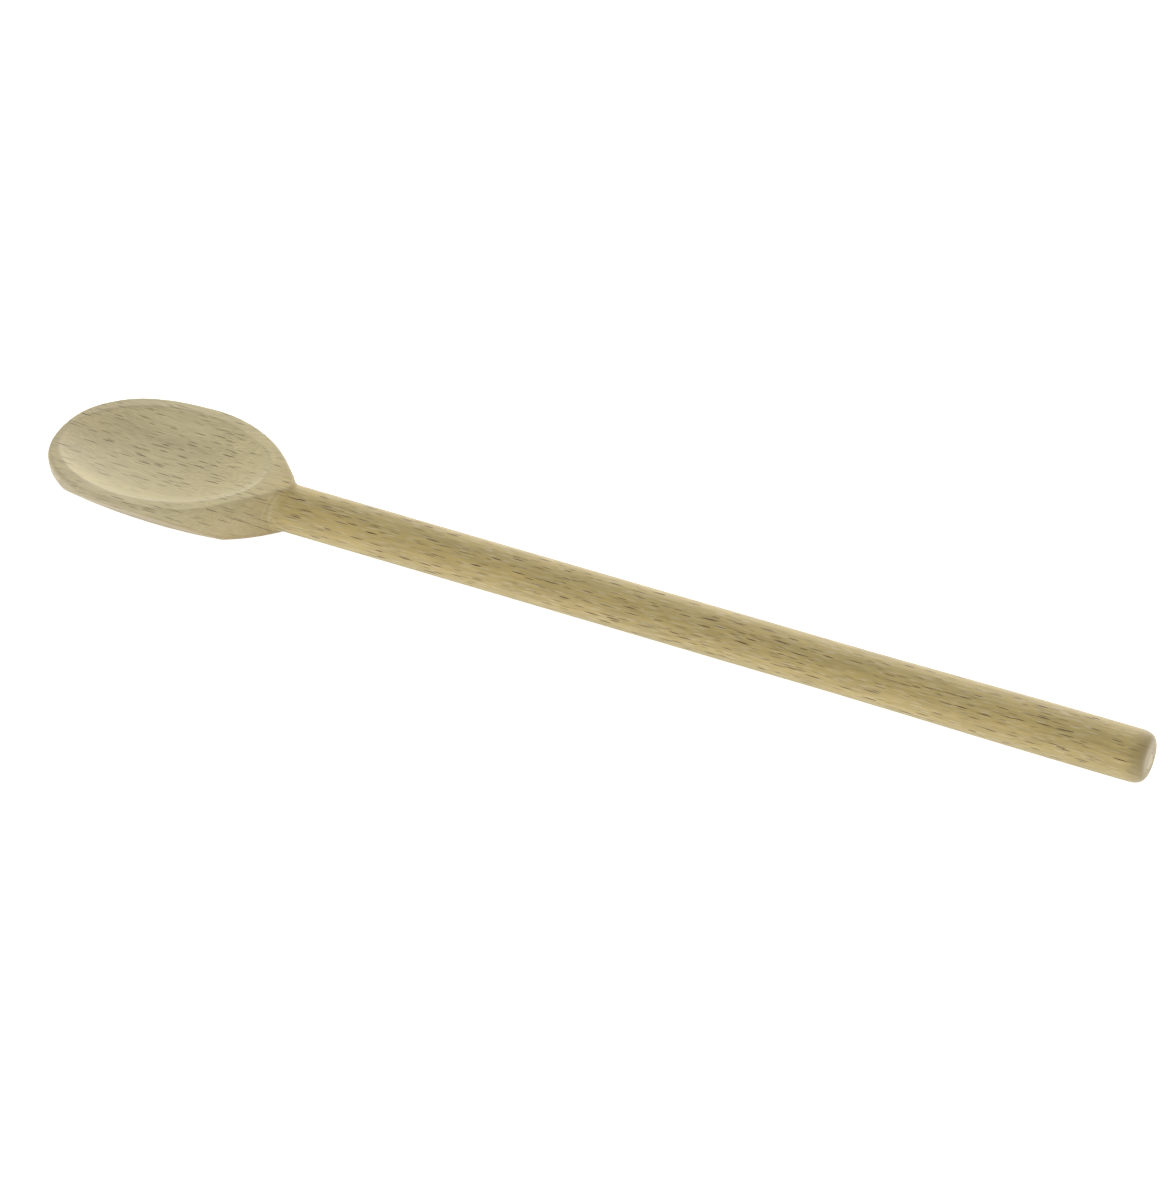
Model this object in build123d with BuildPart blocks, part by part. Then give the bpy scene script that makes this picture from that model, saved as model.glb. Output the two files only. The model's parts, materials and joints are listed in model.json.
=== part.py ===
"""A plain kitchen spoon worked from one length of beech: an oval bowl on a round handle.

The frame: X runs from the bowl to the butt, Z is up and the hollow faces up. The origin lies
under the middle of the spoon, on the surface that it rests on. Lengths are in millimetres and
angles in degrees. Stations are measured along the spoon from the tip of the bowl.
"""
import os
from math import asin, cos, degrees, radians, sin, tan

from build123d import *

# Driving sizes of the whole spoon. The head is all that lies before the handle.
overall_length = 300.0
head_length = 66.0
bowl_width = 45.8
handle_diameter = 12.5
butt_swell = 0.8

# The outline of the head seen from above, in shares of its length and of half its width
tip_corner_length_share = 0.130
tip_corner_width_share = 0.76
widest_length_share = 0.485
shoulder_length_share = 0.803
shoulder_width_share = 0.74
neck_inset = 1.95
neck_turn = -48.0

# The upright sides lean in a little towards their top, and most of all at the neck.
shoulder_lean = 1.1
neck_lean = 0.2
neck_top_setback = 0.3

# The head seen from the side. The land is the top of the plank around the hollow. It climbs
# evenly from the tip to its bend, and then rises to a crest that stands over the handle.
land_below_handle_top = 0.2
tip_drop = 1.75
land_bend_length_share = 0.697
crest_rise = 1.5
crest_length_share = 0.93
tip_thickness = 4.9
belly_length_share = 0.803
keel_power = 1.2
heel_rise = 0.2

# The back of the bowl: two flanks that lean in under an upright side, and a crown between
# them. Seen from below, each flank ends along an arc, which is widest at its bow station.
least_side_height = 1.5
flank_angle = 40.0
flank_bow = 0.5
flank_bow_radius = 113.0
flank_bow_length_share = 0.494
flank_edge_radius = 3.0
crown_rise = 2.0

# The hollow, set in from the outline by the width of its rim
tip_rim_width = 1.6
side_rim_width = 3.25
heel_rim_width = 6.4
hollow_depth = 6.6

# Rounded edges
belly_edge_radius = 2.8
neck_fillet_radius = 2.0
outer_rim_radius = 0.6
hollow_rim_radius = 0.6

# The handle. It swells a little towards the butt, and its last stretch is straight.
handle_root_depth = 12.0
flare_start_station = 215.0
grip_end_length = 14.0
butt_edge_length = 4.0
butt_face_diameter = 7.6

# How far a cutting shape runs past what it cuts
overrun = 2.0

# The spoon lies level, because its belly reaches as low as its butt.
half_bowl = bowl_width / 2
neck_station = head_length
belly_station = belly_length_share * head_length
handle_radius = handle_diameter / 2
neck_half_width = handle_radius - neck_inset
butt_radius = (handle_diameter + butt_swell) / 2
butt_face_radius = butt_face_diameter / 2
tip_x = -overall_length / 2
butt_x = overall_length / 2
axis_z = butt_radius
land_z = axis_z + handle_radius - land_below_handle_top
tip_land_z = land_z - tip_drop
keel_tip_z = tip_land_z - tip_thickness
stock_top_z = land_z + 3 * overrun
bend_station = land_bend_length_share * head_length
crest_station = crest_length_share * head_length
land_slope = tip_drop / bend_station
flank_slope = tan(radians(flank_angle))
widest_land_z = land_z - tip_drop * (1 - widest_length_share / land_bend_length_share)
flank_top_z = widest_land_z - least_side_height
bow_station = flank_bow_length_share * head_length

os.makedirs("parts", exist_ok=True)


def along(station):
    """Give the x of a station."""
    return tip_x + station


def keel_height(station):
    """Give the height of the back's middle line: down to the belly, then up to the neck."""
    if station < belly_station:
        return keel_tip_z * (1 - station / belly_station) ** keel_power
    return heel_rise * ((station - belly_station) / (neck_station - belly_station)) ** 2


def land_height(station):
    """Give the height of the land: an even climb to its bend, and a smooth rise to its crest."""
    if station < bend_station:
        return land_z + land_slope * (station - bend_station)
    rise_length = crest_station - bend_station
    share = min((station - bend_station) / rise_length, 1)
    climb = land_slope * rise_length * share * (1 - share) ** 2
    return land_z + climb + crest_rise * share**2 * (3 - 2 * share)


def flank_foot(station, height):
    """Give how far out a flank ends: it leans in from the side, and bows along the spoon."""
    lean = (flank_top_z - height) * flank_slope
    return half_bowl - lean + flank_bow - (station - bow_station) ** 2 / (2 * flank_bow_radius)


def outline(height, shoulder_narrowing, neck_narrowing, setback):
    """Draw the outline of the head at a height, with its shoulders and neck set in."""
    shoulder_width = shoulder_width_share * half_bowl - shoulder_narrowing
    neck_width = neck_half_width - neck_narrowing
    with BuildSketch(Plane.XY.offset(height)) as plan:
        with BuildLine():
            front = Spline(
                (along(0), 0),
                (along(tip_corner_length_share * head_length), tip_corner_width_share * half_bowl),
                (along(widest_length_share * head_length), half_bowl),
                tangents=[(0, 1), (1, 0)],
            )
            shoulder = Spline(
                front @ 1,
                (along(shoulder_length_share * head_length), shoulder_width),
                (along(neck_station - setback), neck_width),
                tangents=[(1, 0), (cos(radians(neck_turn)), sin(radians(neck_turn)))],
            )
            neck_radius = neck_width / cos(radians(neck_turn))
            JernArc(shoulder @ 1, shoulder % 1, neck_radius, -90 - neck_turn)
            mirror(about=Plane.XZ)
        make_face()
    return plan.sketch.face()


# The back of the head is lofted through sections, each one a flat top, two leaning flanks and
# a crowned underside. It is longer and taller than the head, which the outline then cuts out.
half_stock = half_bowl + (stock_top_z - flank_top_z) * flank_slope
hull_stations = [
    -2 * overrun,
    belly_station / 4,
    belly_station / 2,
    belly_station * 3 / 4,
    belly_station,
    neck_station,
    neck_station + 4 * overrun,
]
with BuildPart() as hull:
    for station in hull_stations:
        keel_z = keel_height(station)
        edge_z = keel_z + crown_rise
        edge_y = flank_foot(station, edge_z)
        with BuildSketch(Plane.YZ.offset(along(station))) as section:
            with BuildLine():
                Polyline(
                    (-edge_y, edge_z),
                    (-half_stock, stock_top_z),
                    (half_stock, stock_top_z),
                    (edge_y, edge_z),
                )
                ThreePointArc((-edge_y, edge_z), (0, keel_z), (edge_y, edge_z))
            make_face()
            fillet(section.vertices().group_by(Axis.Y)[0], flank_edge_radius)
    loft()

with BuildPart() as spoon:
    # The sides of the head rise from the resting plane, which trims the belly.
    foot_outline = outline(0, 0, 0, 0)
    top_outline = outline(stock_top_z, shoulder_lean, neck_lean, neck_top_setback)
    loft([foot_outline, top_outline], ruled=True)
    add(hull.part, mode=Mode.INTERSECT)

    # The upright sides of the outline are rounded over where they meet the back.
    stock_top = spoon.faces().sort_by(Axis.Z)[-1]
    rim_z = stock_top_z - overrun
    sides = [f for f in spoon.faces() if f != stock_top and f.bounding_box().max.Z > rim_z]
    side_feet = [e for f in sides for e in f.edges() if e.bounding_box().max.Z < rim_z]
    fillet(side_feet, belly_edge_radius)

    # The handle is turned about its own axis, from inside the head to the butt.
    root_x = along(neck_station - handle_root_depth)
    butt_edge_x = butt_x - butt_edge_length
    with BuildSketch(Plane.XZ):
        with BuildLine():
            shaft = Line(
                (root_x, axis_z + handle_radius),
                (along(flare_start_station), axis_z + handle_radius),
            )
            flare = Spline(
                shaft @ 1,
                (butt_edge_x - grip_end_length, axis_z + butt_radius),
                tangents=[(1, 0), (1, 0)],
            )
            grip_end = Line(flare @ 1, (butt_edge_x, axis_z + butt_radius))
            butt_edge = Spline(
                grip_end @ 1,
                (butt_x, axis_z + butt_face_radius),
                tangents=[(1, 0), (0, -1)],
            )
            Polyline(butt_edge @ 1, (butt_x, axis_z), (root_x, axis_z), shaft @ 0)
        make_face()
    revolve(axis=Axis((0, 0, axis_z), (1, 0, 0)))

    # A small fillet eases the shoulders into the handle.
    shaft_face = spoon.faces().filter_by(GeomType.CYLINDER).sort_by(SortBy.AREA)[-1]
    neck_end_x = along(neck_station + overrun)
    neck_edges = [e for e in shaft_face.edges() if e.bounding_box().max.X < neck_end_x]
    fillet(neck_edges, neck_fillet_radius)

    # The land is cut from the tip to the neck, where it passes over the handle.
    with BuildSketch(Plane.XZ.offset(-half_bowl - overrun)):
        with BuildLine():
            land_stations = [-overrun, bend_station, crest_station, neck_station + 2 * overrun]
            land_line = Spline(
                *((along(s), land_height(s)) for s in land_stations),
                tangents=[(1, land_slope), (1, land_slope), (1, 0), (1, 0)],
            )
            Polyline(
                land_line @ 1,
                (along(neck_station + 2 * overrun), stock_top_z + overrun),
                (along(-overrun), stock_top_z + overrun),
                land_line @ 0,
            )
        make_face()
    extrude(amount=bowl_width + 2 * overrun, mode=Mode.SUBTRACT)

    # The hollow: a long arc through its two rims and its floor, turned about a line above it
    hollow_end = neck_station - heel_rim_width
    hollow_middle = (tip_rim_width + hollow_end) / 2
    hollow_floor_z = land_height(hollow_middle) - hollow_depth
    half_hollow = half_bowl - side_rim_width
    hollow_radius = (half_hollow**2 + hollow_depth**2) / (2 * hollow_depth)
    hollow_axis_z = hollow_floor_z + hollow_radius
    dish = ThreePointArc(
        (along(tip_rim_width), land_height(tip_rim_width)),
        (along(hollow_middle), hollow_floor_z),
        (along(hollow_end), land_height(hollow_end)),
    )
    lift = degrees(asin((dish.arc_center.Y - hollow_axis_z) / dish.radius))
    with BuildSketch(Plane.XZ):
        with BuildLine():
            long_dish = CenterArc(dish.arc_center, dish.radius, 180 + lift, 180 - 2 * lift)
            Line(long_dish @ 1, long_dish @ 0)
        make_face()
    revolve(axis=Axis((0, 0, hollow_axis_z), (1, 0, 0)), mode=Mode.SUBTRACT)

    # Both edges of the land are eased. The land is the highest face with a hole in it.
    land = max((f for f in spoon.faces() if f.inner_wires()), key=lambda f: f.center().Z)
    fillet(land.inner_wires()[0].edges(), hollow_rim_radius)
    land = max((f for f in spoon.faces() if f.inner_wires()), key=lambda f: f.center().Z)
    fillet(land.outer_wire().edges(), outer_rim_radius)
spoon.part.label = "wooden_spoon"

export_step(spoon.part, "parts/wooden_spoon.step")
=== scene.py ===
# %% [markdown]
# # A beech cooking spoon
# This lesson dresses a finished CAD model of a wooden spoon. The solid already has its shape
# and size, so no form is made up here. Every length is in metres, in the solid's own frame: X
# runs from the bowl to the butt, Z is up and the hollow faces up. We add what a solid can't
# hold: softened edges, marks of the tools, the beech itself and the light.

# %% The frame that the CAD model gives
import math

import bmesh
import bpy
import numpy as np
from mathutils import Matrix, Vector
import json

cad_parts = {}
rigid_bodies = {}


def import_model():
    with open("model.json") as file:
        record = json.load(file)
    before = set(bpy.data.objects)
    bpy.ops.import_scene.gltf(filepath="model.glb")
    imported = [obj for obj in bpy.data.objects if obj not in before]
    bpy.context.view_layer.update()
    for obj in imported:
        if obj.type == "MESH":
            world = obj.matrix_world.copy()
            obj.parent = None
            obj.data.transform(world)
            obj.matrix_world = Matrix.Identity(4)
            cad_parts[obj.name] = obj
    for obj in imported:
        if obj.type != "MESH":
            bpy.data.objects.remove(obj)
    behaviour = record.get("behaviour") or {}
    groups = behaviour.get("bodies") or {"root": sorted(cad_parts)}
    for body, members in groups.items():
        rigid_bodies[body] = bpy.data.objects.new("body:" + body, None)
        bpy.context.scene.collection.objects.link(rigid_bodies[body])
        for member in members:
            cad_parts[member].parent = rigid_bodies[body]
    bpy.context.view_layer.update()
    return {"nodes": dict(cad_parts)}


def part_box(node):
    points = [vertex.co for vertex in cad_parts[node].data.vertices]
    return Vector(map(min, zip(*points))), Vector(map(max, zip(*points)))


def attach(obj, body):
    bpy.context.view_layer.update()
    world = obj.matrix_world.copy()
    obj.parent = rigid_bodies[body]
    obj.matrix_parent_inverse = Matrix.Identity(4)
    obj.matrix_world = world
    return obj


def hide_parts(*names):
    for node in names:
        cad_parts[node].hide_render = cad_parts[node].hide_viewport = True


for leftover in list(bpy.data.objects):
    bpy.data.objects.remove(leftover)
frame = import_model()
solid = frame["nodes"]["wooden_spoon"]
low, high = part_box("wooden_spoon")
print("solid", len(solid.data.polygons), "triangles, from", tuple(low), "to", tuple(high))

# %% [markdown]
# ## The sizes that the looks share
# A few places on the spoon are needed again and again: the tip, the neck where the bowl meets
# the handle, the handle's own axis, and the butt with the start of its rounded edge. They get
# names here once, and everything after this reads them.

# %% Places and sizes on the spoon
mm = 0.001
tip_x = low.x
butt_x = high.x
neck_x = tip_x + 66.0 * mm
axis_height = 6.65 * mm
butt_edge_x = butt_x - 4.2 * mm
print("neck at", round(neck_x, 4), "and axis", round(axis_height / mm, 2), "mm above the table")

# %% [markdown]
# ## The camera
# The photograph looks along the spoon from the bowl's left, well above it, with a long lens
# that hardly narrows the far end. A camera's place is easiest to say as a turn about the
# upright, an angle down and a distance from what it looks at. The two small slips of the aim
# stand for a photographer who didn't point quite at the middle of the spoon.

# %% The camera
view_turn = math.radians(25.43)
view_down = math.radians(38.0)
view_distance = 1.5
sight_limit = 20.0
lens_sensor = 36.0
focal_pixels = 6024.27
photo_height_pixels = 1200
lens_length = focal_pixels * lens_sensor / photo_height_pixels
aim_right = 0.627 * mm
aim_up = 1.318 * mm

look = Vector((
    -math.cos(view_down) * math.sin(view_turn),
    math.cos(view_down) * math.cos(view_turn),
    -math.sin(view_down),
))
right = Vector((math.cos(view_turn), math.sin(view_turn), 0))
up = right.cross(look)
place = Vector((0, 0, axis_height)) - look * view_distance - right * aim_right - up * aim_up
camera_data = bpy.data.cameras.new("camera")
camera_data.sensor_width = lens_sensor
camera_data.lens = lens_length
camera_data.clip_end = sight_limit
camera = bpy.data.objects.new("camera", camera_data)
camera.matrix_world = Matrix((
    (right.x, up.x, -look.x, place.x),
    (right.y, up.y, -look.y, place.y),
    (right.z, up.z, -look.z, place.z),
    (0, 0, 0, 1),
))
bpy.context.scene.collection.objects.link(camera)
bpy.context.scene.camera = camera
print("camera at", tuple(round(v, 3) for v in place), "lens", round(lens_length, 1))

# %% [markdown]
# ## Helpers for node trees
# Materials and Geometry Nodes are both trees of small boxes joined by wires. Building one in
# code is mostly the same three moves: add a box, set its sockets, run a wire. `Tree` keeps
# those moves short. A value may be a number, or the socket of another box to wire in.


# %% A short way to write node trees
class Tree:
    """Adds nodes to a node tree and wires them up."""

    def __init__(self, tree):
        self.tree = tree

    def wire(self, value, socket):
        """Join a socket to another one, or set it to a plain value."""
        if isinstance(value, bpy.types.NodeSocket):
            self.tree.links.new(value, socket)
        else:
            socket.default_value = value

    def add(self, kind, values=None, **settings):
        """Add one node, with its settings by name and its inputs by name or number."""
        node = self.tree.nodes.new(kind)
        for name, setting in settings.items():
            setattr(node, name, setting)
        for name, value in (values or {}).items():
            self.wire(value, node.inputs[name])
        return node

    def math(self, operation, *values):
        """One step of arithmetic."""
        values = dict(enumerate(values))
        return self.add("ShaderNodeMath", values, operation=operation).outputs[0]

    def total(self, first, *others):
        """Add two or more values up."""
        for value in others:
            first = self.math("ADD", first, value)
        return first

    def product(self, first, *others):
        """Multiply two or more values."""
        for value in others:
            first = self.math("MULTIPLY", first, value)
        return first

    def rest_of(self, share):
        """Give what a share leaves of one."""
        return self.math("SUBTRACT", 1.0, share)

    def vector(self, operation, first, second=None):
        """One step of arithmetic on vectors, which gives a vector or a number."""
        values = {0: first} if second is None else {0: first, 1: second}
        node = self.add("ShaderNodeVectorMath", values, operation=operation)
        return node.outputs[1] if operation in ("LENGTH", "DOT_PRODUCT") else node.outputs[0]

    def scale(self, vector, factor):
        """Make a vector longer or shorter."""
        values = {0: vector, "Scale": factor}
        return self.add("ShaderNodeVectorMath", values, operation="SCALE").outputs[0]

    def split(self, vector):
        """Give the x, y and z of a vector."""
        return tuple(self.add("ShaderNodeSeparateXYZ", {0: vector}).outputs)

    def join(self, x=0.0, y=0.0, z=0.0):
        """Make a vector of three numbers."""
        return self.add("ShaderNodeCombineXYZ", {0: x, 1: y, 2: z}).outputs[0]

    def ramp(self, value, low_in, high_in, low_out=0.0, high_out=1.0, smooth=True):
        """Turn one range of values into another, held at its ends."""
        values = dict(enumerate((value, low_in, high_in, low_out, high_out)))
        interpolation = "SMOOTHSTEP" if smooth else "LINEAR"
        return self.add("ShaderNodeMapRange", values, interpolation_type=interpolation).outputs[0]

    def noise(self, vector, scale=1.0, detail=2.0):
        """Give a noise node, whose first output is a number and whose second is a colour."""
        return self.add("ShaderNodeTexNoise", {"Vector": vector, "Scale": scale, "Detail": detail})

    def mix(self, share, first, second, blend="MIX"):
        """Mix two colours, or lay one over the other."""
        node = self.add("ShaderNodeMix", data_type="RGBA", blend_type=blend)
        share_input, first_input, second_input, result_output = 0, 6, 7, 2
        self.wire(share, node.inputs[share_input])
        self.wire(first, node.inputs[first_input])
        self.wire(second, node.inputs[second_input])
        return node.outputs[result_output]

    def group(self, name, values):
        """Place a node group, with its inputs by name."""
        node = self.add("ShaderNodeGroup")
        node.node_tree = bpy.data.node_groups[name]
        for socket, value in values.items():
            self.wire(value, node.inputs[socket])
        return node


def new_group(name, kind, inputs, outputs):
    """Start a node group with named sockets. Give its Tree, its inputs and its output node."""
    group = bpy.data.node_groups.new(name, kind)
    for socket, socket_type, value in inputs:
        item = group.interface.new_socket(socket, in_out="INPUT", socket_type=socket_type)
        if value is not None:
            item.default_value = value
    for socket, socket_type in outputs:
        group.interface.new_socket(socket, in_out="OUTPUT", socket_type=socket_type)
    tree = Tree(group)
    return tree, tree.add("NodeGroupInput").outputs, tree.add("NodeGroupOutput")


print("node helpers ready")

# %% [markdown]
# ## The spoon's surface
# The CAD solid comes as flat triangles, a few millimetres across, and light would show each
# one. Their corners carry the true surface's normals, though, so each triangle can be divided
# and its new points lifted onto the curve that those normals describe. An even net of small
# squares laid over that gives a surface fine enough to carry softened edges and tool marks,
# where the bare triangles are too long and thin to bend.

# %% The corners of the solid's triangles, and their normals
corner_points = np.empty(len(solid.data.vertices) * 3)
solid.data.vertices.foreach_get("co", corner_points)
corner_points = corner_points.reshape(-1, 3)
corner_index = np.empty(len(solid.data.loops), dtype=np.int64)
solid.data.loops.foreach_get("vertex_index", corner_index)
corner_normals = np.empty(len(solid.data.loops) * 3)
solid.data.corner_normals.foreach_get("vector", corner_normals)
corners = corner_points[corner_index].reshape(-1, 3, 3)
normals = corner_normals.reshape(-1, 3, 3)
print("corners of", len(corners), "triangles")

# %% [markdown]
# A point in a triangle is a mix of its three corners. Dividing every triangle in the same way
# takes one list of such shares, and one list of the small triangles that they span.

# %% One triangle, divided
divisions = 4
shares = np.array([
    (1 - (i + j) / divisions, i / divisions, j / divisions)
    for i in range(divisions + 1)
    for j in range(divisions + 1 - i)
])
place_of = {tuple(np.rint(s * divisions).astype(int)): n for n, s in enumerate(shares)}
small = []
for i in range(divisions):
    for j in range(divisions - i):
        k = divisions - i - j
        left, ahead = place_of[k - 1, i + 1, j], place_of[k - 1, i, j + 1]
        small.append((place_of[k, i, j], left, ahead))
        if k > 1:
            small.append((left, place_of[k - 2, i + 1, j + 1], ahead))
small = np.array(small)
print("one triangle becomes", len(small))

# %% [markdown]
# Each new point is drawn onto the planes that touch the surface at the three corners, and the
# three results are mixed by its shares. Three quarters of the way there comes close to the
# true curve. Doubled points are merged, because the solid's triangles are loose.

# %% All triangles, divided and lifted onto their curve
curve_share = 0.75
merge_distance = 0.002 * mm
flat = np.einsum("sc,tcx->tsx", shares, corners)
lifted = np.zeros_like(flat)
for c in range(3):
    away = np.einsum("tsx,tx->ts", flat - corners[:, None, c], normals[:, c])
    lifted += shares[None, :, c, None] * (flat - away[..., None] * normals[:, None, c])
points = (1 - curve_share) * flat + curve_share * lifted
faces = (np.arange(len(corners))[:, None, None] * len(shares) + small[None]).reshape(-1, 3)
curved = bpy.data.meshes.new("curved_spoon")
curved.from_pydata(points.reshape(-1, 3).tolist(), [], faces.tolist())
curved_spoon = bpy.data.objects.new("curved_spoon", curved)
bpy.context.scene.collection.objects.link(curved_spoon)
sheet = bmesh.new()
sheet.from_mesh(curved)
bmesh.ops.remove_doubles(sheet, verts=sheet.verts, dist=merge_distance)
sheet.to_mesh(curved)
sheet.free()
print("curved copy", len(curved.vertices), "points")

# %% [markdown]
# A voxel remesh wraps the curved copy in even squares. It also rounds each edge by about half
# a square, much as sandpaper does. A shrinkwrap then draws the net back onto the curved copy,
# because a remesh alone leaves a faint ripple on surfaces that lean, and a little smoothing
# evens the squares out.

# %% An even net over the spoon
net_size = 0.45 * mm
net = curved.copy()
net.name = "beech_spoon"
spoon = bpy.data.objects.new("beech_spoon", net)
bpy.context.scene.collection.objects.link(spoon)


def bake_modifiers(piece):
    """Turn what a piece's modifiers show into its plain mesh, and remove them."""
    graph = bpy.context.evaluated_depsgraph_get()
    finished = bpy.data.meshes.new_from_object(piece.evaluated_get(graph))
    finished.name = piece.data.name
    piece.modifiers.clear()
    piece.data = finished


remesh = spoon.modifiers.new("net", "REMESH")
remesh.mode = "VOXEL"
remesh.voxel_size = net_size
wrap = spoon.modifiers.new("wrap", "SHRINKWRAP")
wrap.target = curved_spoon
wrap.wrap_method = "NEAREST_SURFACEPOINT"
ease = spoon.modifiers.new("ease", "SMOOTH")
ease.factor = 0.5
ease.iterations = 2
bake_modifiers(spoon)
bpy.data.objects.remove(curved_spoon)
print("net", len(spoon.data.polygons), "squares")

# %% [markdown]
# ## Marks of the making
# The spoon was cut and sanded, and the cutter that shaped the bowl stopped at the neck. Both
# leave marks that a hand can feel: the whole surface has a slow, slight ripple, and where the
# cutter stopped there are two faint grooves. These are rules about distance along the spoon,
# so a Geometry Nodes tree suits them. It moves each point along its own normal, and its named
# inputs are the marks' sizes. It also measures how far each point stands out from its
# neighbours and keeps that as an attribute, for the material to make the edges smoother and
# paint shade on them.

# %% A Geometry Nodes tree for the marks
marks, given, result = new_group(
    "Marks of the Making",
    "GeometryNodeTree",
    [
        ("Geometry", "NodeSocketGeometry", None),
        ("Neck Place", "NodeSocketFloat", 0.0),
        ("Ring Spacing", "NodeSocketFloat", 0.0014),
        ("Ring Width", "NodeSocketFloat", 0.0005),
        ("Ring Depth", "NodeSocketFloat", 0.00005),
        ("Ripple Height", "NodeSocketFloat", 0.00004),
        ("Ripple Length", "NodeSocketFloat", 0.03),
        ("Blur Steps", "NodeSocketInt", 4),
        ("Material", "NodeSocketMaterial", None),
    ],
    [("Geometry", "NodeSocketGeometry")],
)
ring_count = 2
position = marks.add("GeometryNodeInputPosition").outputs[0]
normal = marks.add("GeometryNodeInputNormal").outputs[0]
along = marks.split(position)[0]
from_neck = marks.math("SUBTRACT", along, given["Neck Place"])
rings = 0.0
for number in range(ring_count):
    middle = marks.product(given["Ring Spacing"], -1.0 - number)
    gap = marks.math("ABSOLUTE", marks.math("SUBTRACT", from_neck, middle))
    rings = marks.math("MAXIMUM", rings, marks.ramp(gap, 0.0, given["Ring Width"], 1.0, 0.0))
ripple_place = marks.scale(position, marks.math("DIVIDE", 1.0, given["Ripple Length"]))
ripple = marks.math("SUBTRACT", marks.noise(ripple_place, detail=1.0).outputs[0], 0.5)
ripple_out = marks.product(ripple, given["Ripple Height"])
ring_in = marks.product(rings, given["Ring Depth"])
shift = marks.scale(normal, marks.math("SUBTRACT", ripple_out, ring_in))
moved = marks.add("GeometryNodeSetPosition", {"Geometry": given["Geometry"], "Offset": shift})
print("rings and ripple", len(marks.tree.nodes), "nodes")

# %% [markdown]
# Blurring the positions over a few neighbours gives a softer spoon, and the step from it to
# the real surface is large only at edges. Some nodes here hold one Value socket for each type
# of data and hide all but one, so a helper picks the one in use.

# %% How far each point stands out, and the end of the tree
edge_unit = 0.1 * mm


def value_socket(sockets):
    """Give the Value socket that is in use."""
    return next(socket for socket in sockets if socket.name == "Value" and socket.enabled)


blurred = marks.add("GeometryNodeBlurAttribute", data_type="FLOAT_VECTOR")
marks.wire(given["Blur Steps"], blurred.inputs["Iterations"])
marks.wire(position, value_socket(blurred.inputs))
step_out = marks.vector("SUBTRACT", position, value_socket(blurred.outputs))
stands_out = marks.math("DIVIDE", marks.vector("DOT_PRODUCT", step_out, normal), edge_unit)
kept = marks.add("GeometryNodeStoreNamedAttribute", data_type="FLOAT", domain="POINT")
marks.wire(moved.outputs[0], kept.inputs["Geometry"])
marks.wire("stands_out", kept.inputs["Name"])
marks.wire(stands_out, value_socket(kept.inputs))
dressed = marks.add(
    "GeometryNodeSetMaterial", {"Geometry": kept.outputs[0], "Material": given["Material"]}
)
smooth = marks.add("GeometryNodeSetShadeSmooth", {"Geometry": dressed.outputs[0]})
real = marks.add("GeometryNodeRealizeInstances", {"Geometry": smooth.outputs[0]})
marks.wire(real.outputs[0], result.inputs[0])
print("marks tree", len(marks.tree.nodes), "nodes")

# %% [markdown]
# ## Beech, from the inside
# A spoon is cut from a billet, so its pattern isn't painted on: it is what shows where the
# surface cuts through the tree's rings and rays. The material is built the same way, as a
# solid that fills space. A first node group turns the object's coordinates into the billet's
# own: along the grain, along the rings and out from the heart, in millimetres. The grain of a
# real billet wanders a little, and a slow noise bends these coordinates to match.

# %% Node group: the billet's own directions
billet, given, result = new_group(
    "Billet Directions",
    "ShaderNodeTree",
    [
        ("Vector", "NodeSocketVector", None),
        ("Turn", "NodeSocketFloat", 0.0),
        ("Wander", "NodeSocketFloat", 0.8),
    ],
    [("Vector", "NodeSocketVector")],
)
metre_in_mm = 1000
wander_frequency = (0.012, 0.02, 0.02)
wander_reach = (0.0, 2.0, 2.0)
in_mm = billet.vector("MULTIPLY", given["Vector"], (metre_in_mm,) * 3)
turn_values = {"Vector": in_mm, "Angle": given["Turn"]}
turned = billet.add("ShaderNodeVectorRotate", turn_values, rotation_type="X_AXIS").outputs[0]
slow = billet.vector("MULTIPLY", turned, wander_frequency)
bend = billet.vector("SUBTRACT", billet.noise(slow, detail=1.5).outputs["Color"], (0.5, 0.5, 0.5))
bend = billet.scale(billet.vector("MULTIPLY", bend, wander_reach), given["Wander"])
billet.wire(billet.vector("ADD", turned, bend), result.inputs[0])
print("billet group", len(billet.tree.nodes), "nodes")

# %% [markdown]
# A year's ring is pale where the tree grew fast in spring and a little darker where it slowed
# down. Beech shows this only faintly. The rings are circles about the tree's heart, which lay
# outside this narrow billet, so they cross the spoon as gentle curves.

# %% Node group: the year rings
years, given, result = new_group(
    "Year Rings",
    "ShaderNodeTree",
    [
        ("Vector", "NodeSocketVector", None),
        ("Heart Distance", "NodeSocketFloat", 60.0),
        ("Ring Width", "NodeSocketFloat", 2.4),
        ("Wobble", "NodeSocketFloat", 1.0),
    ],
    [("Late Wood", "NodeSocketFloat"), ("Year Tone", "NodeSocketFloat")],
)
wobble_frequency = (0.02, 0.16, 0.16)
wobble_reach = 4.0
late_wood_power = 2.5
_, ring_y, ring_z = years.split(given["Vector"])
across = years.join(y=ring_y, z=years.total(ring_z, given["Heart Distance"]))
loose = years.vector("MULTIPLY", given["Vector"], wobble_frequency)
wobble = years.math("SUBTRACT", years.noise(loose).outputs[0], 0.5)
wobble = years.product(wobble, given["Wobble"], wobble_reach)
radius = years.total(years.vector("LENGTH", across), wobble)
count = years.math("DIVIDE", radius, given["Ring Width"])
phase = years.math("FRACT", count)
late = years.math("POWER", phase, late_wood_power)
soft_end = years.ramp(phase, 0.92, 1.0, 1.0, 0.0)
years.wire(years.product(late, soft_end), result.inputs["Late Wood"])
year_number = years.math("FLOOR", count)
year = years.add("ShaderNodeTexWhiteNoise", noise_dimensions="1D")
years.wire(year_number, year.inputs["W"])
years.wire(year.outputs[0], result.inputs["Year Tone"])
print("ring group", len(years.tree.nodes), "nodes")

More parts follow.
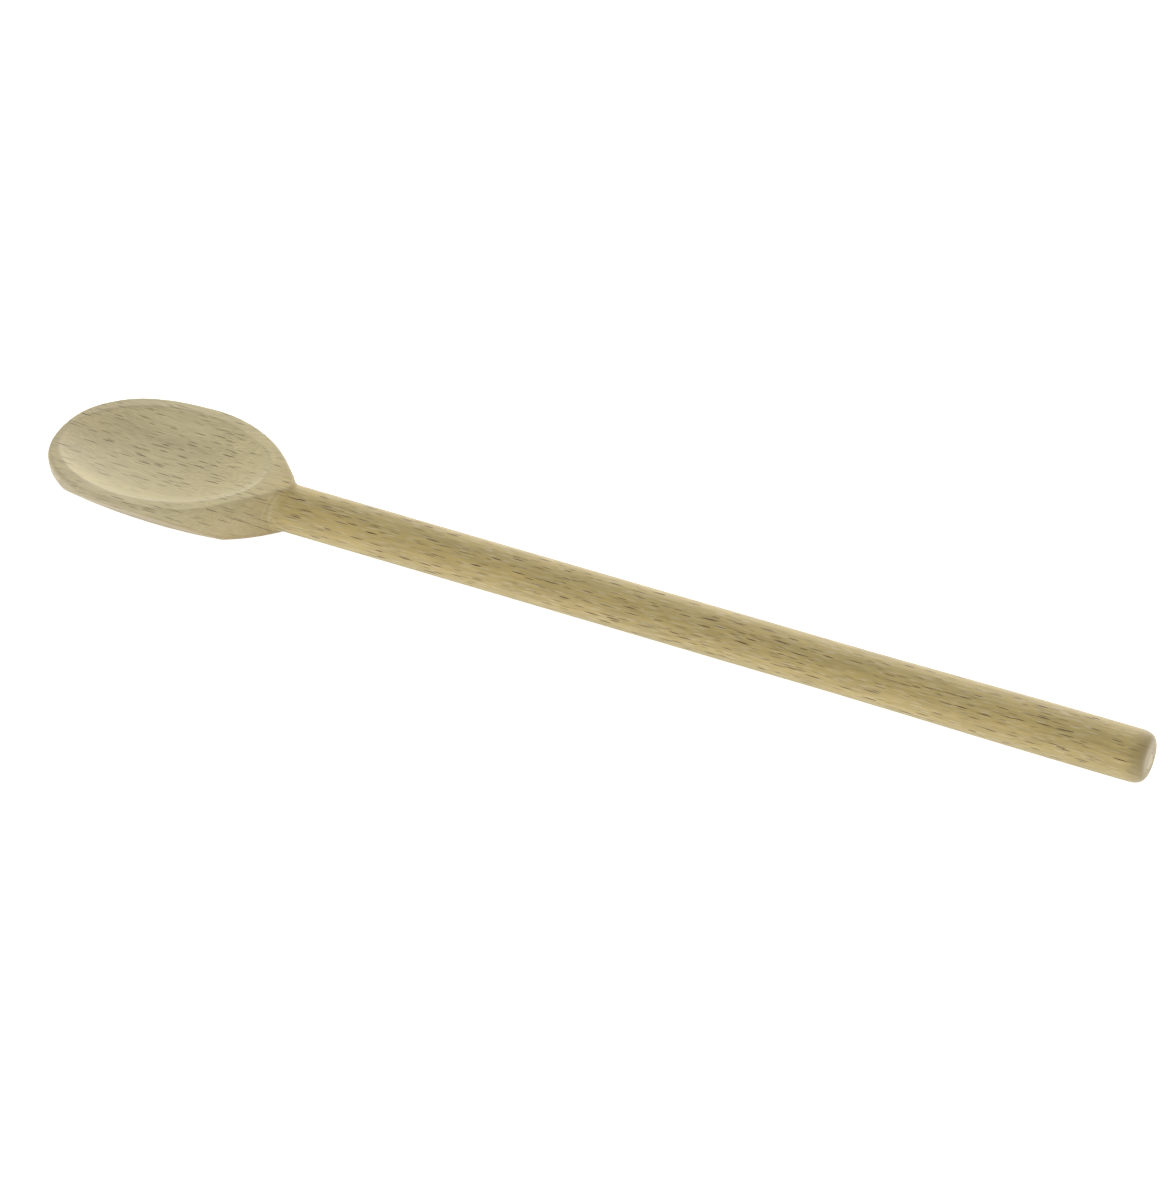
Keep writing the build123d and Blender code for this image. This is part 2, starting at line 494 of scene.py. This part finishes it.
# %% [markdown]
# The mark of beech is its rays: thin ribbons of food-storing cells that run out from the heart.
# A ribbon is two or three millimetres high along the grain, a fifth of a millimetre thick, and
# very long. Where the surface cuts it end on, it is the short brown dash that covers this
# spoon. In coordinates along and across, one dash in each cell of a flat Voronoi pattern gives
# that, and leaving out the third direction makes each dash a ribbon. Each cell's colour is a
# set of chances: how long and thick its dash is, how dark, and whether it has one at all.

# %% Node group: the rays
rays, given, result = new_group(
    "Beech Rays",
    "ShaderNodeTree",
    [
        ("Vector", "NodeSocketVector", None),
        ("Length", "NodeSocketFloat", 2.6),
        ("Thickness", "NodeSocketFloat", 0.2),
        ("Spacing Along", "NodeSocketFloat", 3.6),
        ("Spacing Across", "NodeSocketFloat", 1.1),
        ("Shift", "NodeSocketFloat", 0.0),
        ("Share Kept", "NodeSocketFloat", 0.7),
    ],
    [("Ray", "NodeSocketFloat")],
)
soft_edge_share = 0.35
palest_ray = 0.5
grain_x, grain_y, _ = rays.split(given["Vector"])
cell = rays.join(
    x=rays.math("DIVIDE", rays.total(grain_x, given["Shift"]), given["Spacing Along"]),
    y=rays.math("DIVIDE", rays.total(grain_y, given["Shift"]), given["Spacing Across"]),
)
sown_values = {"Vector": cell, "Scale": 1.0, "Randomness": 1.0}
sown = rays.add("ShaderNodeTexVoronoi", sown_values, voronoi_dimensions="2D")
off_x, off_y, _ = rays.split(rays.vector("SUBTRACT", cell, sown.outputs["Position"]))
chance = rays.add("ShaderNodeSeparateColor", {0: sown.outputs["Color"]}).outputs
half_length = rays.product(given["Length"], rays.ramp(chance[0], 0, 1, 0.3, 0.6, False))
half_thick = rays.product(given["Thickness"], rays.ramp(chance[1], 0, 1, 0.35, 0.6, False))
away_along = rays.math("DIVIDE", rays.product(off_x, given["Spacing Along"]), half_length)
away_across = rays.math("DIVIDE", rays.product(off_y, given["Spacing Across"]), half_thick)
taper = rays.rest_of(rays.math("POWER", rays.math("ABSOLUTE", away_along), 2.0))
taper = rays.math("MAXIMUM", taper, 0.0)
inside = rays.math("SUBTRACT", taper, rays.math("ABSOLUTE", away_across))
left_out = rays.rest_of(given["Share Kept"])
is_kept = rays.math("GREATER_THAN", chance[2], left_out)
darkness = rays.ramp(chance[2], left_out, 1.0, palest_ray, 1.0, False)
ray = rays.product(rays.ramp(inside, 0.0, soft_edge_share), is_kept, darkness)
rays.wire(ray, result.inputs["Ray"])
print("ray group", len(rays.tree.nodes), "nodes")

# %% [markdown]
# Between the rays the wood isn't even either. Long fibres take the light in streaks, some a
# few millimetres wide and as long as a hand, some as fine as a hair. A noise that is squeezed
# across the grain and stretched along it gives both.

# %% Node group: streaks along the fibres
fibres, given, result = new_group(
    "Fibre Streaks",
    "ShaderNodeTree",
    [
        ("Vector", "NodeSocketVector", None),
        ("Width", "NodeSocketFloat", 3.0),
        ("Stretch", "NodeSocketFloat", 20.0),
        ("Detail", "NodeSocketFloat", 2.0),
    ],
    [("Streak", "NodeSocketFloat")],
)
fibre_x, fibre_y, fibre_z = fibres.split(given["Vector"])
squeezed = fibres.join(fibres.math("DIVIDE", fibre_x, given["Stretch"]), fibre_y, fibre_z)
squeezed = fibres.scale(squeezed, fibres.math("DIVIDE", 1.0, given["Width"]))
streak = fibres.noise(squeezed, detail=given["Detail"]).outputs[0]
both_ways = fibres.math("SUBTRACT", fibres.product(streak, 2.0), 1.0)
fibres.wire(both_ways, result.inputs[0])
print("groups", [group.name for group in bpy.data.node_groups])

# %% [markdown]
# ## The beech material
# The groups now come together in one material, in a few steps. It starts with masks: numbers
# from 0 to 1 that say where on the spoon a point lies, and which way the surface faces there.
# They read the object's coordinates and its normals, never the camera, so they hold in every
# view.

# %% Masks over the spoon
beech = bpy.data.materials.new("sanded_beech")
beech.use_nodes = True
wood = Tree(beech.node_tree)
wood.tree.nodes.clear()

here = wood.add("ShaderNodeTexCoord").outputs["Object"]
spot_x, spot_y, spot_z = wood.split(here)
outward = wood.add("ShaderNodeNewGeometry").outputs["Normal"]
facing_x, _, facing_z = wood.split(outward)

neck_change_start_x = neck_x - 8 * mm
neck_change_end_x = neck_x + 3 * mm
upward = wood.ramp(facing_z, 0.1, 0.8)
steep = wood.ramp(facing_z, 0.97, 0.82)
downward = wood.ramp(facing_z, 0.0, -0.4)
end_grain = wood.ramp(wood.math("ABSOLUTE", facing_x), 0.3, 1.0)
at_tip = wood.ramp(spot_x, tip_x + 22 * mm, tip_x + 3 * mm)
towards_neck = wood.ramp(spot_x, tip_x + 26 * mm, neck_change_start_x)
towards_handle = wood.ramp(spot_x, neck_change_start_x, neck_change_end_x)
at_butt = wood.ramp(spot_x, butt_edge_x - 1 * mm, butt_x - 0.6 * mm)
low_side = wood.ramp(spot_z, 4 * mm, 12 * mm, 1.0, 0.0)


def bowl_to_handle(bowl_value, handle_value):
    """Give one value on the bowl and another on the handle, with an even change at the neck."""
    return wood.ramp(towards_handle, 0, 1, bowl_value, handle_value)


print("masks", len(wood.tree.nodes), "nodes")

# %% [markdown]
# The pattern is laid in layers: big, middling and tiny rays, pale flecks where a ray lies just
# under the surface, year rings, and three widths of streak. Where the surface lies along the
# rays instead of across them, an endless ribbon would show as a broad blotch, while a real ray
# soon dips out of the surface. So the rays are slimmed and faded by how nearly end on they are.

# %% The pattern of the wood
billet_turn = math.radians(-48)
across_rays = (0.0, math.cos(billet_turn), -math.sin(billet_turn))
just_over_one = 1.001
flatness = wood.vector("DOT_PRODUCT", outward, across_rays)
end_on = wood.math("SUBTRACT", just_over_one, wood.product(flatness, flatness))
end_on = wood.math("SQRT", end_on)
slimmed = wood.ramp(end_on, 0.0, 0.65, 0.06, 1.0, False)
faded = wood.ramp(end_on, 0.05, 0.5, 0.25, 1.0)
grain = wood.group(
    "Billet Directions", {"Vector": here, "Turn": billet_turn, "Wander": 0.8}
).outputs[0]
year_ring = wood.group(
    "Year Rings", {"Vector": grain, "Heart Distance": 60.0, "Ring Width": 2.6, "Wobble": 1.0}
).outputs


def streaks(width, stretch, detail):
    """Lay streaks of one width, in millimetres, along the grain."""
    values = {"Vector": grain, "Width": width, "Stretch": stretch, "Detail": detail}
    return wood.group("Fibre Streaks", values).outputs[0]


def ray_layer(length, thickness, spacing_along, spacing_across, shift, share_kept):
    """Sow one layer of rays, with sizes in millimetres. The shift keeps layers apart."""
    return wood.group("Beech Rays", {
        "Vector": grain,
        "Length": length,
        "Thickness": wood.product(slimmed, thickness),
        "Spacing Along": spacing_along,
        "Spacing Across": spacing_across,
        "Shift": shift,
        "Share Kept": share_kept,
    }).outputs[0]


wide_streak = streaks(width=4.5, stretch=26.0, detail=2.0)
middling_streak = streaks(width=1.0, stretch=14.0, detail=1.5)
fine_streak = streaks(width=0.42, stretch=16.0, detail=2.0)
big_ray = ray_layer(4.6, bowl_to_handle(0.22, 0.28), 5.0, 1.5, 0.0, 0.56)
middling_ray = ray_layer(3.6, bowl_to_handle(0.18, 0.23), 4.2, 1.2, 17.3, 0.5)
tiny_ray = ray_layer(2.4, 0.12, 2.6, 0.5, 41.7, 0.5)
pale_fleck = ray_layer(4.4, 0.36, 3.8, 0.8, 71.3, 0.7)
print("pattern", len(wood.tree.nodes), "nodes")

# %% [markdown]
# The ground colour changes over the spoon. The bowl is pale and greyish, and the handle a
# warmer tan. On the bowl, faces that look up are painted lighter than the upright side, and the
# slopes of the hollow lighter still, as painted light against the shade in the hollow. The
# handle's underside is paler, a painted sheen. Small tints darken the bowl's tip and paint shade
# on its downward-facing back. Towards the neck the bowl turns yellower, its steep slopes darker,
# and the foot of its side gets painted light from the table.

# %% The ground colour
side_colour = (0.415, 0.355, 0.200, 1)
lit_land_colour = (0.52, 0.445, 0.250, 1)
lit_slope_colour = (0.67, 0.58, 0.335, 1)
handle_colour = (0.466, 0.357, 0.134, 1)
handle_underside_sheen = (0.53, 0.46, 0.27, 1)
high_side_tint = (0.99, 0.98, 0.84, 1)
table_light_low_tint = (1.29, 1.25, 1.17, 1)
land_tint = (0.99, 0.97, 0.88, 1)
slope_tint = (0.85, 0.84, 0.75, 1)
tip_tint = (0.90, 0.88, 0.86, 1)
painted_back_shade = (0.80, 0.735, 0.63, 1)

# Painted light: faces that look up are lighter than the upright side, and the hollow's slopes
# lighter still.
ground = wood.mix(upward, side_colour, lit_land_colour)
ground = wood.mix(wood.product(steep, upward), ground, lit_slope_colour)
# Painted light from the table: near the neck the foot of the bowl's side is made lighter.
side_tint = wood.mix(low_side, high_side_tint, table_light_low_tint)
top_tint = wood.mix(steep, land_tint, slope_tint)
neck_tint = wood.mix(upward, side_tint, top_tint)
ground = wood.mix(towards_neck, ground, neck_tint, "MULTIPLY")
ground = wood.mix(at_tip, ground, tip_tint, "MULTIPLY")
# Painted shade on the bowl's downward-facing back, against the glow of the table.
ground = wood.mix(downward, ground, painted_back_shade, "MULTIPLY")
# Painted sheen: the handle's underside is paler and less yellow.
underside_sheen_share = wood.ramp(facing_z, 0.1, -0.5, 0.0, 0.35)
shaft_colour = wood.mix(underside_sheen_share, handle_colour, handle_underside_sheen)
ground = wood.mix(towards_handle, ground, shaft_colour)
print("ground colour", len(wood.tree.nodes), "nodes")

# %% [markdown]
# Streaks and rings only make this colour lighter or darker, so they add up to one tone that
# multiplies it. Rays are darker and browner than that, and are laid over it with a deep tint.

# %% The tone, the flecks and the rays
even_tone = 1.05
late_wood_gain = -0.04
year_gain = 0.02
wide_gain = 0.14
fine_gain = 0.26
middling_ray_share = 0.65
tiny_ray_share = 0.2
ray_tint = (0.12, 0.05, 0.0, 1)
fleck_colour = (0.66, 0.58, 0.39, 1)

tone = wood.total(
    even_tone,
    wood.product(wide_streak, wide_gain),
    wood.product(middling_streak, bowl_to_handle(0.10, 0.26)),
    wood.product(fine_streak, fine_gain),
    wood.product(year_ring["Late Wood"], late_wood_gain),
    wood.product(wood.math("SUBTRACT", year_ring["Year Tone"], 0.5), year_gain),
)
grey = wood.add("ShaderNodeCombineColor", {0: tone, 1: tone, 2: tone}).outputs[0]
ground = wood.mix(1.0, ground, grey, "MULTIPLY")
fleck_share = wood.product(pale_fleck, faded, bowl_to_handle(0.18, 0.5))
ground = wood.mix(fleck_share, ground, fleck_colour)
ray_share = wood.math("MAXIMUM", big_ray, wood.product(middling_ray, middling_ray_share))
ray_share = wood.math("MAXIMUM", ray_share, wood.product(tiny_ray, tiny_ray_share))
ray_share = wood.product(ray_share, faded)
ground = wood.mix(ray_share, ground, ray_tint, "MULTIPLY")
print("rays", len(wood.tree.nodes), "nodes")

# %% [markdown]
# Where the cutter stopped at the neck, two pale lines cross the side of the bowl: a painted
# highlight, for the light that the edges of the cutter's two faint grooves catch. They bow away
# from the middle height, as the edge of a round cutter does.

# %% The lines at the neck, a painted highlight
# Painted highlight: pale lines where the edges of the faint grooves catch the light.
line_places = (neck_x - 2.1 * mm, neck_x - 3.4 * mm)
line_width = 0.35 * mm
line_bow = 1.5 * mm
bow_height = 6 * mm
groove_highlight_share = 0.35
groove_highlight_colour = (0.60, 0.53, 0.34, 1)
over_axis = wood.math("DIVIDE", wood.math("SUBTRACT", spot_z, axis_height), bow_height)
bowed = wood.product(wood.math("POWER", wood.math("ABSOLUTE", over_axis), 2.0), line_bow)
groove_highlight = 0.0
for line_place in line_places:
    off_line = wood.math("SUBTRACT", spot_x, wood.total(bowed, line_place))
    off_line = wood.math("ABSOLUTE", off_line)
    groove_highlight = wood.math("MAXIMUM", groove_highlight, wood.ramp(off_line, 0.0, line_width, 1.0, 0.0))
groove_highlight = wood.product(groove_highlight, wood.rest_of(upward), groove_highlight_share)
ground = wood.mix(groove_highlight, ground, groove_highlight_colour)
print("neck lines", len(wood.tree.nodes), "nodes")

# %% [markdown]
# Wood that is cut across the grain, as at the butt and on the steep ends of the hollow, is
# darker, because open pores drink in light. The rounded edge of the butt is darker still: partly
# its end grain, and partly painted shade against the sheen and table glow that it catches. On
# its flat end, just below the middle, a small pale patch is painted light, and its ragged dark
# rim is a painted shadow. Edges that stand out are a little smoother, and painted shade darkens
# them against the light that they catch.

# %% The end grain, the butt and the edges
end_share = 0.35
end_colour = (0.30, 0.21, 0.09, 1)
butt_share = 0.75
butt_edge_grain_and_shade = (0.31, 0.235, 0.085, 1)
butt_end_grain_and_shade = (0.21, 0.155, 0.05, 1)
patch_drop = 0.8 * mm
patch_outer_radius = 2.2 * mm
patch_inner_radius = 1.7 * mm
patch_share = 0.7
painted_light_patch_colour = (0.44, 0.365, 0.195, 1)
rim_radius = 2.25 * mm
rim_width = 0.4 * mm
rim_share = 0.8
painted_shadow_rim_colour = (0.16, 0.11, 0.05, 1)
ragged_scale = 900.0
ragged_reach = 2.0 * mm
edge_share = 0.25
edge_colour = (0.36, 0.30, 0.17, 1)

ground = wood.mix(wood.product(end_grain, end_share), ground, end_colour)
# Partly end grain, partly painted shade: the butt's rounded edge is darkened against the sheen and
# table glow that it catches.
butt_grain_and_shade = wood.mix(end_grain, butt_edge_grain_and_shade, butt_end_grain_and_shade)
ground = wood.mix(wood.product(at_butt, butt_share), ground, butt_grain_and_shade)
# Painted light and shade: a pale patch on the flat end, with a ragged rim of painted shadow.
over_patch = wood.math("SUBTRACT", spot_z, axis_height - patch_drop)
ragged = wood.math("SUBTRACT", wood.noise(here, ragged_scale).outputs[0], 0.5)
ragged = wood.product(ragged, ragged_reach)
from_patch = wood.total(wood.vector("LENGTH", wood.join(y=spot_y, z=over_patch)), ragged)
on_patch = wood.ramp(from_patch, patch_outer_radius, patch_inner_radius)
ground = wood.mix(wood.product(at_butt, on_patch, patch_share), ground, painted_light_patch_colour)
from_rim = wood.math("ABSOLUTE", wood.math("SUBTRACT", from_patch, rim_radius))
on_rim = wood.ramp(from_rim, 0.0, rim_width, 1.0, 0.0)
ground = wood.mix(wood.product(on_rim, at_butt, rim_share), ground, painted_shadow_rim_colour)
# Painted shade: edges that stand out are darkened against the light they catch, and made smoother.
stands_out = wood.add("ShaderNodeAttribute", attribute_name="stands_out").outputs["Fac"]
smoothed_and_shaded = wood.ramp(stands_out, 0.15, 0.9)
ground = wood.mix(wood.product(smoothed_and_shaded, edge_share), ground, edge_colour)
print("butt and edges", len(wood.tree.nodes), "nodes")

# %% [markdown]
# Nothing is varnished, so the surface is dull. Its gloss is wide and weak, and tiny fibres
# that stand up catch the light at a slant, which the shader calls sheen. Sheen and gloss level
# are plain values, because the export drops one that changes over the surface.
# Fibres and rays are also felt: the fine streaks stand up and the rays are slightly sunk.

# %% The surface of the wood
base_roughness = 0.44
relief_height = 0.05 * mm
roughness = wood.total(
    base_roughness,
    wood.product(fine_streak, 0.06),
    wood.product(end_grain, 0.15),
    wood.product(smoothed_and_shaded, -0.08),
)
height = wood.math("SUBTRACT", wood.product(fine_streak, 0.4), wood.product(ray_share, 0.6))
relief = wood.add("ShaderNodeBump", {"Strength": 0.5, "Distance": relief_height, "Height": height})
surface = wood.add("ShaderNodeBsdfPrincipled", {
    "Base Color": ground,
    "Roughness": roughness,
    "IOR": 1.5,
    "Sheen Weight": 1.0,
    "Sheen Tint": (1.0, 0.95, 0.82, 1),
    "Specular IOR Level": 0.5,
    "Sheen Roughness": 0.3,
    "Normal": relief.outputs[0],
})
wood.add("ShaderNodeOutputMaterial", {0: surface.outputs[0]})
print("beech material", len(wood.tree.nodes), "nodes")

# %% [markdown]
# With the material made, the tree of marks can be put on the spoon and turned into a plain
# mesh. A modifier's inputs are set by each socket's identifier, which the tree's interface
# gives for its name.

# %% The spoon gets its marks and its beech
holder = spoon.modifiers.new("marks", "NODES")
holder.node_group = marks.tree
settings = {
    "Neck Place": neck_x - 0.6 * mm,
    "Ring Spacing": 1.2 * mm,
    "Ring Width": 0.6 * mm,
    "Ring Depth": 0.02 * mm,
    "Ripple Height": 0.05 * mm,
    "Ripple Length": 28 * mm,
    "Blur Steps": 5,
    "Material": beech,
}
for item in marks.tree.interface.items_tree:
    if item.in_out == "INPUT" and item.name in settings:
        holder[item.identifier] = settings[item.name]
bake_modifiers(spoon)
triangles = sum(len(face.vertices) - 2 for face in spoon.data.polygons)
print("spoon", triangles, "triangles, edge mark", "stands_out" in spoon.data.attributes)
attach(spoon, "root")
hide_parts("wooden_spoon")

# %% [markdown]
# ## The table and the light
# The spoon lies on a bright white table, in soft light from above and behind, and more light
# comes back up from the table, which is why both long edges of the handle are paler than its
# middle. A plain floor does this: a matt surface with a glow of its own. The camera sees the
# glow whole, so the table is pure white. For everything else the glow fades close to the
# spoon, because a real table gets less light there. Ambient Occlusion measures that.

# %% The floor
floor_reach = 3.0
floor_drop = 0.2 * mm
covered_reach = 12 * mm
floor_mesh = bpy.data.meshes.new("table")
floor_corners = [
    (-floor_reach, -floor_reach, 0),
    (floor_reach, -floor_reach, 0),
    (floor_reach, floor_reach, 0),
    (-floor_reach, floor_reach, 0),
]
floor_mesh.from_pydata(floor_corners, [], [(0, 1, 2, 3)])
table = bpy.data.objects.new("table", floor_mesh)
table.location.z = -floor_drop
bpy.context.scene.collection.objects.link(table)
white = bpy.data.materials.new("white_table")
white.use_nodes = True
plain = Tree(white.node_tree)
plain.tree.nodes.clear()
matt = plain.add("ShaderNodeBsdfDiffuse", {"Color": (0.8, 0.8, 0.8, 1)})
cover = plain.add("ShaderNodeAmbientOcclusion", {"Distance": covered_reach}, samples=8)
photographed = plain.add("ShaderNodeLightPath").outputs["Is Camera Ray"]
glow_level = plain.math("MAXIMUM", photographed, cover.outputs["AO"])
glow = plain.add("ShaderNodeEmission", {"Color": (1, 1, 1, 1), "Strength": glow_level})
both = plain.add("ShaderNodeAddShader", {0: matt.outputs[0], 1: glow.outputs[0]})
plain.add("ShaderNodeOutputMaterial", {0: both.outputs[0]})
table.data.materials.append(white)
print("table at", round(table.location.z / mm, 2), "mm")

# %% [markdown]
# The world is a soft white, as the inside of a light tent is, and it dims towards the side
# that the photograph was taken from, where the tent is open. Only matt surfaces are lit
# by that dimmer world: the camera and glossy reflections see it at full white. Two wide lamps,
# behind and above the spoon, model its form.

# %% The world and the lamps
tent_light = 0.96
opening_light = 0.22
world = bpy.data.worlds.new("light_tent")
bpy.context.scene.world = world
world.use_nodes = True
tent = Tree(world.node_tree)
tent.tree.nodes.clear()
path = tent.add("ShaderNodeLightPath")
seen = tent.math("MAXIMUM", path.outputs["Is Camera Ray"], path.outputs["Is Glossy Ray"])
around = tent.add("ShaderNodeTexCoord").outputs["Generated"]
towards_opening = tent.vector("DOT_PRODUCT", around, tuple(-look))
dim = tent.ramp(towards_opening, 0.3, 1.0, tent_light, opening_light)
level = tent.ramp(seen, 0, 1, dim, 1.0, False)
sky = tent.add("ShaderNodeBackground", {"Color": (1, 1, 1, 1), "Strength": level})
tent.add("ShaderNodeOutputWorld", {0: sky.outputs[0]})


def soft_lamp(name, lamp_place, size, power):
    """Hang a square lamp that looks at the middle of the spoon."""
    data = bpy.data.lights.new(name, "AREA")
    data.size = size
    data.energy = power
    lamp = bpy.data.objects.new(name, data)
    lamp.location = lamp_place
    lamp.rotation_euler = (-Vector(lamp_place)).to_track_quat("-Z", "Y").to_euler()
    bpy.context.scene.collection.objects.link(lamp)


soft_lamp("lamp_behind", (0.0, 1.2, 0.7), size=1.2, power=6.0)
soft_lamp("lamp_above", (-0.5, 0.3, 1.3), size=1.0, power=1.0)

# %% The colours are shown as they are
bpy.context.scene.view_settings.view_transform = "Standard"

# %% One last import
import json
